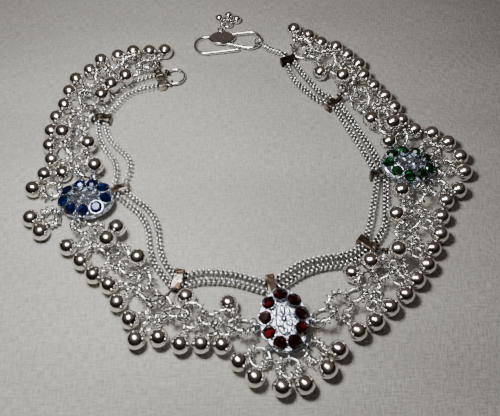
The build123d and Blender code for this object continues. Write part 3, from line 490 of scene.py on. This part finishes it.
@dataclass(frozen=True)
class Paper:
    """Pale laid paper under the anklet.

    Cloud and fibre are features per metre before they are stretched along X, Y and Z.
    """

    name: str = "paper"
    cloud: float = 26.0
    cloud_stretch: Place = (0.5, 1.6, 1)
    fibre: float = 1500.0
    fibre_stretch: tuple[Place, Place] = ((0.3, 1.3, 1), (1.3, 0.3, 1))
    fibre_share: float = 0.8
    fibre_depth: float = 0.5 * MM
    fibre_strength: float = 0.7
    roughness: float = 0.9
    shine: float = 0.2

    def material(self) -> bpy.types.Material:
        """Builds the finish.

        Returns:
            Matt paper with crossing fine fibres, the mean of two noises stretched each its own way,
            and faint cloudy shade.
        """
        sheet = NodeSheet(self.name)
        cloud = sheet.spread(sheet.noise(self.cloud, 4.0, self.cloud_stretch), 0.0, 1.0)
        fibres = sheet.node("ShaderNodeMath", operation="ADD")
        for stretch, slot in zip(self.fibre_stretch, fibres.inputs):
            sheet.link(sheet.noise(self.fibre, 2.0, stretch), slot)
        mean = sheet.node("ShaderNodeMath", operation="MULTIPLY")
        mean.inputs[1].default_value = 1 / len(self.fibre_stretch)
        sheet.link(fibres.outputs[0], mean.inputs[0])
        grain = sheet.spread(mean.outputs[0], 0.0, self.fibre_share)
        ground = sheet.mix(cloud, Tone.PAPER.value, Tone.PAPER_SHADE.value)
        sheet.link(sheet.mix(grain, ground, Tone.FIBRE.value), sheet.surface.inputs["Base Color"])
        sheet.surface.inputs["Roughness"].default_value = self.roughness
        sheet.surface.inputs["Specular IOR Level"].default_value = self.shine
        sheet.bump(mean.outputs[0], self.fibre_depth, self.fibre_strength)
        return sheet.material


@dataclass(frozen=True)
class Finishes:
    """Every finish of the anklet, by material slot."""

    metals: tuple[Silver, ...] = (
        # shade_and_oxide: how far painted shade, partly oxide, darkens each metal between close parts
        Silver("wire_silver", Tone.WIRE, 0.16, tarnish=0.08, shade_and_oxide=0.8),
        Silver("bell_silver", Tone.BELL, 0.16, tarnish=0.12, shade_and_oxide=0.3, grain_depth=0.008 * MM),
        # sheet_silver's dark brown patches are partly stain, partly a painted reflection of the dark
        # room
        Silver(
            "sheet_silver", Tone.SHEET, 0.28, tarnish=1.0, stain=Tone.SHEET_STAIN_AND_REFLECTION, patch=300.0,
            patch_band=(0.38, 0.51), grain=1500.0, grain_depth=0.16 * MM, rounding=0.3 * MM,
        ),
        Silver("woven_silver", Tone.WOVEN, 0.15, tarnish=0.06, shade_and_oxide=0.85, grain_depth=0.008 * MM),
        Silver(
            "setting_silver", Tone.CAST, 0.18, metallic=0.95, tarnish=0.06, shade_and_oxide=0.85,
            grain=1100.0, grain_depth=0.45 * MM,
        ),
    )
    stones: tuple[Stone, ...] = (
        # each stone's bright colour and its share are painted glints
        Stone("blue_stones", (0.0015, 0.004, 0.040), (0.009, 0.036, 0.28), 0.25),
        Stone("red_stones", (0.016, 0.0012, 0.002), (0.24, 0.006, 0.013), 0.10),
        Stone("green_stones", (0.001, 0.018, 0.006), (0.02, 0.40, 0.09), 0.25),
    )

    def dress(self) -> dict[str, bpy.types.Material]:
        """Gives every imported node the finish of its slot.

        Returns:
            The materials by slot name.
        """
        materials = {each.name: each.material() for each in (*self.metals, *self.stones)}
        for entry in frame["record"]["subparts"]:
            node = frame["nodes"][entry["node"]]
            node.data.materials.clear()
            node.data.materials.append(materials[entry["material_slot"]])
        log.info("finishes: %d slots on %d nodes", len(materials), len(frame["nodes"]))
        return materials


# --- where the band runs ----------------------------------------------------------------------
@dataclass(frozen=True)
class Junction:
    """A point of the band where two scallops meet, in millimetres."""

    x: float
    y: float
    part: float = 0.0


@dataclass(frozen=True)
class Knee:
    """A bend inside a scallop: share of the way along, how far in, how much the strands part."""

    share: float
    inward: float
    part: float


@dataclass
class Band:
    """The two strands' middle lines: straight runs between knees and cusps, joined by arcs.

    Sizes are in millimetres. An arc takes at most arc_share of the shorter of its two runs.
    """

    half_pitch: float = 1.17
    height: float = 1.37
    cusp_radius: float = 3.6
    knee_radius_limit: float = 45.0
    arc_share: float = 0.46
    middle: tuple[float, float] = (-0.112, 0.477)
    junctions: tuple[Junction, ...] = (
        Junction(-29.5, 36.2, 1.2), Junction(-46.9, 19.6), Junction(-38.7, -7.2),
        Junction(-19.6, -37.4), Junction(5.6, -38.3), Junction(32.3, -25.4),
        Junction(38.6, -1.8), Junction(26.8, 26.6), Junction(12.6, 45.0),
    )
    knees: tuple[tuple[Knee, ...], ...] = (
        (Knee(0.45, -5.0, 0.4),),
        (Knee(0.30, -0.6, 0.2), Knee(0.70, 4.2, 0.9)),
        (Knee(0.38, 4.4, 0.2), Knee(0.70, -1.0, 0.2)),
        (Knee(0.18, 2.9, 0.1), Knee(0.55, 3.2, 0.1)),
        (Knee(0.38, 2.4, 0.1), Knee(0.80, -1.6, 0.1)),
        (Knee(0.30, -1.6, 1.0),),
        (Knee(0.35, -0.4, 0.2),),
        (Knee(0.20, 2.6, 0.2), Knee(0.65, 2.4, 0.9)),
    )

    def corners(self) -> tuple[Array, Array, Array]:
        """Corners of the band's middle line.

        A knee stands at its share of the straight way between two junctions, moved inwards.

        Returns:
            Places shaped (n, 2), how far the strands part at each, and which are cusps.
        """
        ends = np.array([[each.x, each.y] for each in self.junctions]) - self.middle
        places, parts, cusps = [ends[0]], [self.junctions[0].part], [False]
        for number, knees in enumerate(self.knees):
            chord = ends[number + 1] - ends[number]
            out = np.array([chord[1], -chord[0]]) / np.linalg.norm(chord)
            for knee in knees:
                places.append(ends[number] + knee.share * chord - knee.inward * out)
                parts.append(knee.part)
                cusps.append(False)
            places.append(ends[number + 1])
            parts.append(self.junctions[number + 1].part)
            cusps.append(number < len(self.knees) - 1)
        return np.array(places), np.array(parts), np.array(cusps)

    def strand(self, side: int) -> Array:
        """Closely spaced points along one strand, in metres.

        Each corner is moved out along its mitre by half the pitch and the parting there.

        Args:
            side: 1 for the outer strand, -1 for the inner.

        Returns:
            Points shaped (n, 3).
        """
        places, parts, cusps = self.corners()
        runs = unit(np.diff(places, axis=0))
        incoming, outgoing = np.vstack([runs[:1], runs]), np.vstack([runs, runs[-1:]])
        mean = unit(incoming + outgoing)
        out = np.stack([mean[:, 1], -mean[:, 0]], axis=1)
        mitre = 1 / np.sqrt((1 + (incoming * outgoing).sum(axis=1)) / 2)
        points = places + out * (side * (self.half_pitch + parts) * mitre)[:, None]
        lengths = np.linalg.norm(np.diff(points, axis=0), axis=1)
        ways = unit(np.diff(points, axis=0))
        turns = np.arccos(np.clip((ways[:-1] * ways[1:]).sum(axis=1), -1, 1))
        room = self.arc_share * np.minimum(lengths[:-1], lengths[1:])
        limit = np.where(cusps[1:-1], self.cusp_radius + side * self.half_pitch, self.knee_radius_limit)
        radii = np.minimum(limit, room / np.tan(turns / 2))
        corners = np.column_stack([points, np.full(len(points), self.height)])
        return rounded(corners, list(radii)) * MM


@dataclass
class Route:
    """A line read by the distance along it."""

    points: Array
    marks: Array = field(init=False)

    def __post_init__(self) -> None:
        """Measures the distance along the line to each point."""
        steps = np.linalg.norm(np.diff(self.points, axis=0), axis=1)
        self.marks = np.concatenate([[0.0], np.cumsum(steps)])

    @property
    def length(self) -> float:
        """The line's whole length."""
        return float(self.marks[-1])

    def at(self, distance: Array) -> Array:
        """Points at some distances along the line, each coordinate read between its neighbours."""
        axes = [np.interp(distance, self.marks, self.points[:, axis]) for axis in range(3)]
        return np.stack(axes, axis=-1)

    def frames(self, distance: Array, reach: float) -> tuple[Array, Array, Array, Array]:
        """Points with the line's own directions there.

        Args:
            distance: distances along the line.
            reach: how far to each side the tangent is measured.

        Returns:
            Points, tangents, level directions to the right of them and upward directions.
        """
        tangent = unit(self.at(distance + reach) - self.at(distance - reach))
        across = unit(np.cross(tangent, UP))
        return self.at(distance), tangent, across, np.cross(across, tangent)


@dataclass
class WovenStrand:
    """One strand: two columns of slanted links side by side, each pair a chevron.

    Inset keeps a link inside its half of the strand, and overlap brings the halves together, both
    in radii of its wire.
    """

    node: str
    side: int
    band: Band
    pitch: float = 1.34 * MM
    width: float = 2.1 * MM
    height: float = 1.8 * MM
    wire_radius: float = 0.32 * MM
    slant: float = 0.5
    lean: float = 0.3
    inset: float = 0.75
    overlap: float = 0.2
    tangent_reach: float = 0.3 * MM
    steps: int = 14
    wire_sides: int = 6

    def links(self, route: Route, column: int) -> Array:
        """Closed paths of one column of links.

        A link is a flattened oval across half the strand. Its points lie at cosine and sine of the
        turn times its half width and half height, and further along where they are nearer the
        strand's middle, by slant, and where they are higher, by lean.

        Args:
            route: the strand's middle line.
            column: 1 or -1, the side of the strand; the second is set half a pitch on.

        Returns:
            Paths shaped (links, steps, 3).
        """
        count = int(route.length / self.pitch) - 1
        start = (route.length - (count - 0.5) * self.pitch) / 2 + (column - 1) * self.pitch / 4
        marks = start + np.arange(count) * self.pitch
        turn = np.linspace(0, 2 * np.pi, self.steps, endpoint=False)
        across = squared(np.cos(turn)) * (self.width / 4 - self.wire_radius * self.inset)
        up = squared(np.sin(turn)) * (self.height / 2 - self.wire_radius)
        along = self.lean * up - self.slant * across * column
        offset = column * (self.width / 4 - self.wire_radius * self.overlap)
        point, tangent, right, upward = route.frames(marks, self.tangent_reach)
        return (
            point[:, None, :]
            + tangent[:, None, :] * along[None, :, None]
            + right[:, None, :] * (across + offset)[None, :, None]
            + upward[:, None, :] * up[None, :, None]
        )

    def build(self, material: bpy.types.Material) -> bpy.types.Object:
        """Makes the weave in place of the plain strand.

        Args:
            material: the woven silver finish.

        Returns:
            The new piece.
        """
        route = Route(self.band.strand(self.side))
        tubes = [
            closed_tubes(self.links(route, column), self.wire_radius, self.wire_sides)
            for column in (-1, 1)
        ]
        piece = mesh_piece(f"{self.node}_weave", *join(tubes), material)
        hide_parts(self.node)
        faces = len(piece.data.polygons)
        log.info("%s: %.1f mm of weave, %d faces", piece.name, route.length / MM, faces)
        return piece


@dataclass
class RopeChain:
    """The short rope chain from the joint cap to the hook: two twisted wires, a loop at each end.

    Sizes are in millimetres; a hook corner is X, Y and the radius of its bend.
    """

    node: str
    band: Band
    hook_corners: tuple[tuple[float, float, float], ...] = (
        (-7.9, 53.2, 0.0), (3.4, 49.9, 3.5), (3.3, 59.0, 3.6),
        (-19.0, 56.2, 3.7), (-18.9, 48.4, 3.7), (-4.3, 50.3, 0.0),
    )
    hook_low: float = 0.62
    hook_high: float = 1.4
    held_share: float = 0.2
    cap_eye_out: float = 2.2
    cap_loop: float = 0.85
    cap_loop_steps: int = 28
    hook_loop: float = 1.6
    hook_loop_steps: int = 40
    hook_loop_lift: float = 0.05
    hook_loop_drop: float = 0.35
    loop_wire: float = 0.6
    rise: float = 2.4
    bend: float = 1.6
    tangent_reach: float = 0.2
    wire_sides: int = 10
    rope_radius: float = 1.0
    rope_wire: float = 0.92
    rope_pitch: float = 2.3
    rope_inset: float = 0.55
    rope_steps: int = 72

    def hook_line(self) -> Route:
        """Middle line of the hook's wire, rising from its far end, in millimetres."""
        places = np.array([(x, y) for x, y, _ in self.hook_corners])
        share = (places[:, 0] - places[:, 0].min()) / np.ptp(places[:, 0])
        height = self.hook_low + (self.hook_high - self.hook_low) * share
        corners = np.column_stack([places - self.band.middle, height])
        return Route(rounded(corners, [radius for _, _, radius in self.hook_corners[1:-1]]))

    def ends(self) -> tuple[Array, Array, Array, Array, Array]:
        """Where the chain starts, bends and ends, and its loop on the hook.

        Returns:
            Start on the cap's loop, corner, finish, middle of the hook's loop and that loop's axis,
            all in millimetres.
        """
        inner, outer = (self.band.strand(side) / MM for side in (-1, 1))
        ways = unit(inner[-1] - inner[-2]) + unit(outer[-1] - outer[-2])
        start = (inner[-1] + outer[-1]) / 2 + unit(ways) * (self.cap_eye_out + self.cap_loop)
        hook = self.hook_line()
        held = hook.at(self.held_share * hook.length)
        axis = unit(hook.at(self.held_share * hook.length + self.tangent_reach / 2) - held)
        toward = unit(np.cross(UP, axis))
        toward = toward * np.sign(toward @ (start - held))
        eye = np.array([*held[:2], self.hook_loop + self.loop_wire / 2 + self.hook_loop_lift])
        finish = eye + toward * self.hook_loop - UP * self.hook_loop_drop
        corner = np.array([*(finish + toward * self.rise)[:2], start[2]])
        return start, corner, finish, eye, axis

    def build(self, material: bpy.types.Material) -> bpy.types.Object:
        """Makes the rope in place of the plain chain.

        One wire goes out and the other comes back. Each is the line's point plus its distance from
        the middle times (cosine of the twist times the level side plus sine times the upward side),
        and the second is on the opposite side. The twist is a whole turn for each pitch.

        Args:
            material: the woven silver finish.

        Returns:
            The new piece.
        """
        start, corner, finish, eye, axis = self.ends()
        begin = start + unit(corner - start) * self.cap_loop
        route = Route(rounded(np.array([begin, corner, finish]), [self.bend]))
        marks = np.linspace(self.rope_inset, route.length - self.rope_inset, self.rope_steps)
        point, tangent, right, upward = route.frames(marks, self.tangent_reach)
        twist = 2 * np.pi * marks[:, None] / self.rope_pitch
        away = right * np.cos(twist) + upward * np.sin(twist)
        off = self.rope_radius - self.rope_wire / 2
        path = np.vstack([
            point + off * away, point[-1:] + tangent[-1:] * off / 2,
            (point - off * away)[::-1], point[:1] - tangent[:1] * off / 2,
        ])
        side = np.vstack([away, tangent[-1:], -away[::-1], -tangent[:1]])
        cap_loop = circles(start[None], UP[None], self.cap_loop, self.cap_loop_steps)
        hook_loop = circles(eye[None], axis[None], self.hook_loop, self.hook_loop_steps)
        tubes = [
            closed_tubes(path[None] * MM, self.rope_wire / 2 * MM, self.wire_sides, side[None]),
            closed_tubes(cap_loop * MM, self.loop_wire / 2 * MM, self.wire_sides),
            closed_tubes(hook_loop * MM, self.loop_wire / 2 * MM, self.wire_sides),
        ]
        piece = mesh_piece("rope_chain", *join(tubes), material)
        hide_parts(self.node)
        log.info("%s: %.2f mm of rope", piece.name, route.length)
        return piece


@dataclass(frozen=True)
class Hoop:
    """A ring of the fringe: its middle, its axis, its middle radius and its wire."""

    centre: Array
    axis: Array
    radius: float
    wire: float

    @classmethod
    def read(cls, node: str, radius: float, wire: float) -> "list[Hoop]":
        """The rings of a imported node, from its equal parts.

        Args:
            node: the node's name.
            radius: middle radius of its rings, which says how many there are.
            wire: thickness of their wire.

        Returns:
            One hoop for each ring, its axis being the direction in which its points spread least.
        """
        points = world_points(frame["nodes"][node])
        islands = points.reshape(cls.count(points, radius), -1, 3)
        centres = islands.mean(axis=1)
        axes = np.linalg.svd(islands - centres[:, None, :], full_matrices=False)[2][:, 2]
        return [cls(centre, axis, radius, wire) for centre, axis in zip(centres, axes)]

    @staticmethod
    def count(points: Array, radius: float, most: int = 19) -> int:
        """How many equal runs of points each stay within one ring's width.

        Args:
            points: all points of a node, ring after ring.
            radius: middle radius of its rings.
            most: more rings than any node has.

        Returns:
            The smallest number of runs of which none spreads past one and a half rings.
        """
        whole = [number for number in range(1, most + 1) if len(points) % number == 0]
        widths = [np.ptp(points.reshape(number, -1, 3), axis=1).max() for number in whole]
        return whole[int(np.argmax(np.array(widths) < 1.5 * 2 * radius))]


@dataclass(frozen=True)
class RingSize:
    """Middle radius and wire of the rings of some nodes."""

    radius: float
    wire: float
    nodes: tuple[str, ...]


@dataclass
class SpareRings:
    """Small bright jump rings hooked loosely on the fringe's larger rings, filling it out.

    Places is how many are tried round each large ring, and turn_step how far those places turn
    from one ring to the next, in radians. Swings and rolls are in degrees. A ring is tested at
    fine times as many points as its mesh has steps.
    """

    held: tuple[RingSize, ...] = (
        RingSize(3.15 * MM, 0.75 * MM, ("row_1_rings", "row_2_rings", "row_3_rings", "row_4_rings")),
        RingSize(2.50 * MM, 0.70 * MM, ("blue_fan_rings", "red_fan_rings", "green_fan_rings")),
    )
    radius: float = 1.15 * MM
    wire: float = 0.46 * MM
    gap: float = 0.06 * MM
    places: int = 14
    swings: tuple[float, ...] = (-80.0, -55.0, -30.0, -5.0, 20.0, 45.0)
    rolls: tuple[float, ...] = (-50.0, -20.0, 20.0, 50.0)
    turn_step: float = 0.7
    fine: int = 3
    steps: int = 12
    wire_sides: int = 5

    def candidates(self, hoop: Hoop, turn: float) -> tuple[Array, Array]:
        """Every way in which a small ring could hang on a large one.

        The place on the large ring is its middle plus radius times a spoke. The small ring's middle
        is that place plus its reach times the spoke, in or out, swung up about the wire. Its axis is
        the wire's direction rolled about that line.

        Args:
            hoop: the large ring.
            turn: how far the first place is turned round it, in radians.

        Returns:
            Middles and axes shaped (places, ways, 3).
        """
        helper = UP if abs(hoop.axis[2]) < NEARLY_UPRIGHT else np.array([1.0, 0.0, 0.0])
        first = unit(np.cross(hoop.axis, helper))
        second = np.cross(hoop.axis, first)
        angle = turn + np.linspace(0, 2 * np.pi, self.places, endpoint=False)[:, None]
        spoke = first * np.cos(angle) + second * np.sin(angle)
        along = np.cross(hoop.axis, spoke)
        ways = np.meshgrid(np.radians(self.swings), np.radians(self.rolls), (-1.0, 1.0))
        swing, roll, side = (each.ravel()[None, :, None] for each in ways)
        upward = hoop.axis * np.sign(hoop.axis[2])
        line = spoke[:, None] * side * np.cos(swing) + upward * np.sin(swing)
        axes = along[:, None] * np.cos(roll) + np.cross(line, along[:, None]) * np.sin(roll)
        reach = self.radius - self.wire / 2 - hoop.wire / 2 - self.gap
        middles = (hoop.centre + hoop.radius * spoke)[:, None] + line * reach
        return middles, axes

    def clear(self, loops: Array, tree: BVHTree) -> Array:
        """Which loops keep their wire clear of every solid and of the surface.

        Args:
            loops: closed paths shaped (n, steps, 3).
            tree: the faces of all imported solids.

        Returns:
            A true or false for each loop.
        """
        least = self.wire / 2 + self.gap
        points = loops.reshape(-1, 3).tolist()
        near = [tree.find_nearest(point, least)[0] is not None for point in points]
        touching = np.array(near).reshape(loops.shape[:2]).any(axis=1)
        return ~touching & (loops[..., 2].min(axis=1) > least)

    def rings(self, tree: BVHTree) -> Array:
        """Small rings that fit, the lowest way at each place, each clear of those chosen before.

        Args:
            tree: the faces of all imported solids.

        Returns:
            Closed paths shaped (n, steps, 3).
        """
        points = self.fine * self.steps
        chosen = np.empty((0, points, 3))
        hoops = [
            hoop
            for size in self.held
            for node in size.nodes
            for hoop in Hoop.read(node, size.radius, size.wire)
        ]
        for number, hoop in enumerate(hoops):
            middles, axes = self.candidates(hoop, self.turn_step * number)
            for middle, axis in zip(middles, axes):
                order = np.argsort(middle[:, 2])
                loops = circles(middle[order], axis[order], self.radius, points)
                for loop in loops[self.clear(loops, tree)]:
                    spacing = np.linalg.norm(chosen[:, :, None] - loop, axis=-1)
                    if spacing.size == 0 or spacing.min() > self.wire + self.gap:
                        chosen = np.concatenate([chosen, loop[None]])
                        break
        return chosen[:, ::self.fine]

    def build(self, material: bpy.types.Material) -> bpy.types.Object:
        """Makes the small rings as one piece.

        Args:
            material: the wire silver finish.

        Returns:
            The new piece.
        """
        rings = self.rings(solid_faces())
        wires = closed_tubes(rings, self.wire / 2, self.wire_sides)
        piece = mesh_piece("spare_rings", *wires, material)
        log.info("%s: %d small rings", piece.name, len(rings))
        return piece


@dataclass(frozen=True)
class Lamp:
    """A square soft light: its place, aim, side and watts, and whether it lights matt surfaces."""

    name: str
    place: Place
    aim: Place
    size: float
    power: float
    colour: Colour = (1.0, 0.985, 0.96)
    lighting: bool = True

    def hang(self) -> None:
        """Adds the light to the scene."""
        data = bpy.data.lights.new(self.name, "AREA")
        data.size = self.size
        data.energy = self.power
        data.color = self.colour
        lamp = bpy.data.objects.new(self.name, data)
        lamp.location = self.place
        lamp.rotation_mode = "QUATERNION"
        lamp.rotation_quaternion = (Vector(self.aim) - Vector(self.place)).to_track_quat("-Z", "Y")
        lamp.visible_diffuse = self.lighting
        bpy.context.scene.collection.objects.link(lamp)


@dataclass
class Studio:
    """The paper, the lights, the room and the camera.

    Pitch is how far the camera looks down, in degrees. Room gives the room's colours by how near
    their direction is to room_top, from 0 at a right angle to 1.
    """

    paper_size: float = 1.6
    lens: float = 44.78
    sensor: float = 36.0
    eye: Place = (-0.000088, -0.107697, 0.15184)
    pitch: float = 58.0
    lamps: tuple[Lamp, ...] = (
        Lamp("key", (-0.046, -0.020, 0.125), aim=(-0.026, -0.008, 0.0), size=0.036, power=0.285),
        Lamp(
            "glint", (-0.08, -0.015, 0.80), aim=(0.0, 0.0, 0.0), size=0.34, power=6.0, lighting=False
        ),
    )
    room_top: Place = (0.0, 0.5, 0.87)
    room: tuple[tuple[float, Colour], ...] = (
        (0.05, (0.010, 0.008, 0.006)), (0.45, (0.018, 0.013, 0.010)),
        (0.70, (0.090, 0.070, 0.056)), (0.95, (0.075, 0.060, 0.050)),
    )

    def lay_paper(self) -> None:
        """Makes the surface that the anklet lies on."""
        half = self.paper_size / 2
        mesh = bpy.data.meshes.new("paper")
        corners = [(-half, -half, 0), (half, -half, 0), (half, half, 0), (-half, half, 0)]
        mesh.from_pydata(corners, [], [(0, 1, 2, 3)])
        mesh.materials.append(Paper().material())
        paper = bpy.data.objects.new("paper", mesh)
        bpy.context.scene.collection.objects.link(paper)

    def set_room(self) -> None:
        """Gives the room its colour: dark brown all round, paler above and behind the anklet."""
        world = bpy.data.worlds.new("room")
        world.use_nodes = True
        tree = world.node_tree
        place = tree.nodes.new("ShaderNodeTexCoord")
        height = tree.nodes.new("ShaderNodeVectorMath")
        height.operation = "DOT_PRODUCT"
        height.inputs[1].default_value = self.room_top
        ramp = tree.nodes.new("ShaderNodeValToRGB")
        stops = ramp.color_ramp.elements
        while len(stops) < len(self.room):
            stops.new(1.0)
        for stop, (position, colour) in zip(stops, self.room):
            stop.position = position
            stop.color = (*colour, 1)
        tree.links.new(place.outputs["Generated"], height.inputs[0])
        tree.links.new(height.outputs["Value"], ramp.inputs["Fac"])
        tree.links.new(ramp.outputs["Color"], tree.nodes["Background"].inputs["Color"])
        bpy.context.scene.world = world

    def set_camera(self) -> None:
        """Puts the camera over the near edge, looking down and away."""
        data = bpy.data.cameras.new("camera")
        data.lens = self.lens
        data.sensor_width = self.sensor
        data.clip_start = 0.01
        data.clip_end = 10.0
        camera = bpy.data.objects.new("camera", data)
        camera.location = self.eye
        camera.rotation_euler = (math.radians(90.0 - self.pitch), 0.0, 0.0)
        bpy.context.scene.collection.objects.link(camera)
        bpy.context.scene.camera = camera

    def build(self) -> None:
        """Sets the whole studio."""
        self.set_camera()
        self.lay_paper()
        self.set_room()
        for lamp in self.lamps:
            lamp.hang()


def main() -> None:
    """Builds the studio, the finishes and the new pieces, and reports them."""
    logging.basicConfig(level=logging.INFO, format="%(name)s: %(message)s")
    Studio().build()
    materials = Finishes().dress()
    band = Band()
    WovenStrand("strand_outer", 1, band).build(materials["woven_silver"])
    WovenStrand("strand_inner", -1, band).build(materials["woven_silver"])
    RopeChain("clasp_chain", band).build(materials["woven_silver"])
    SpareRings().build(materials["wire_silver"])


if __name__ == "__main__":
    main()
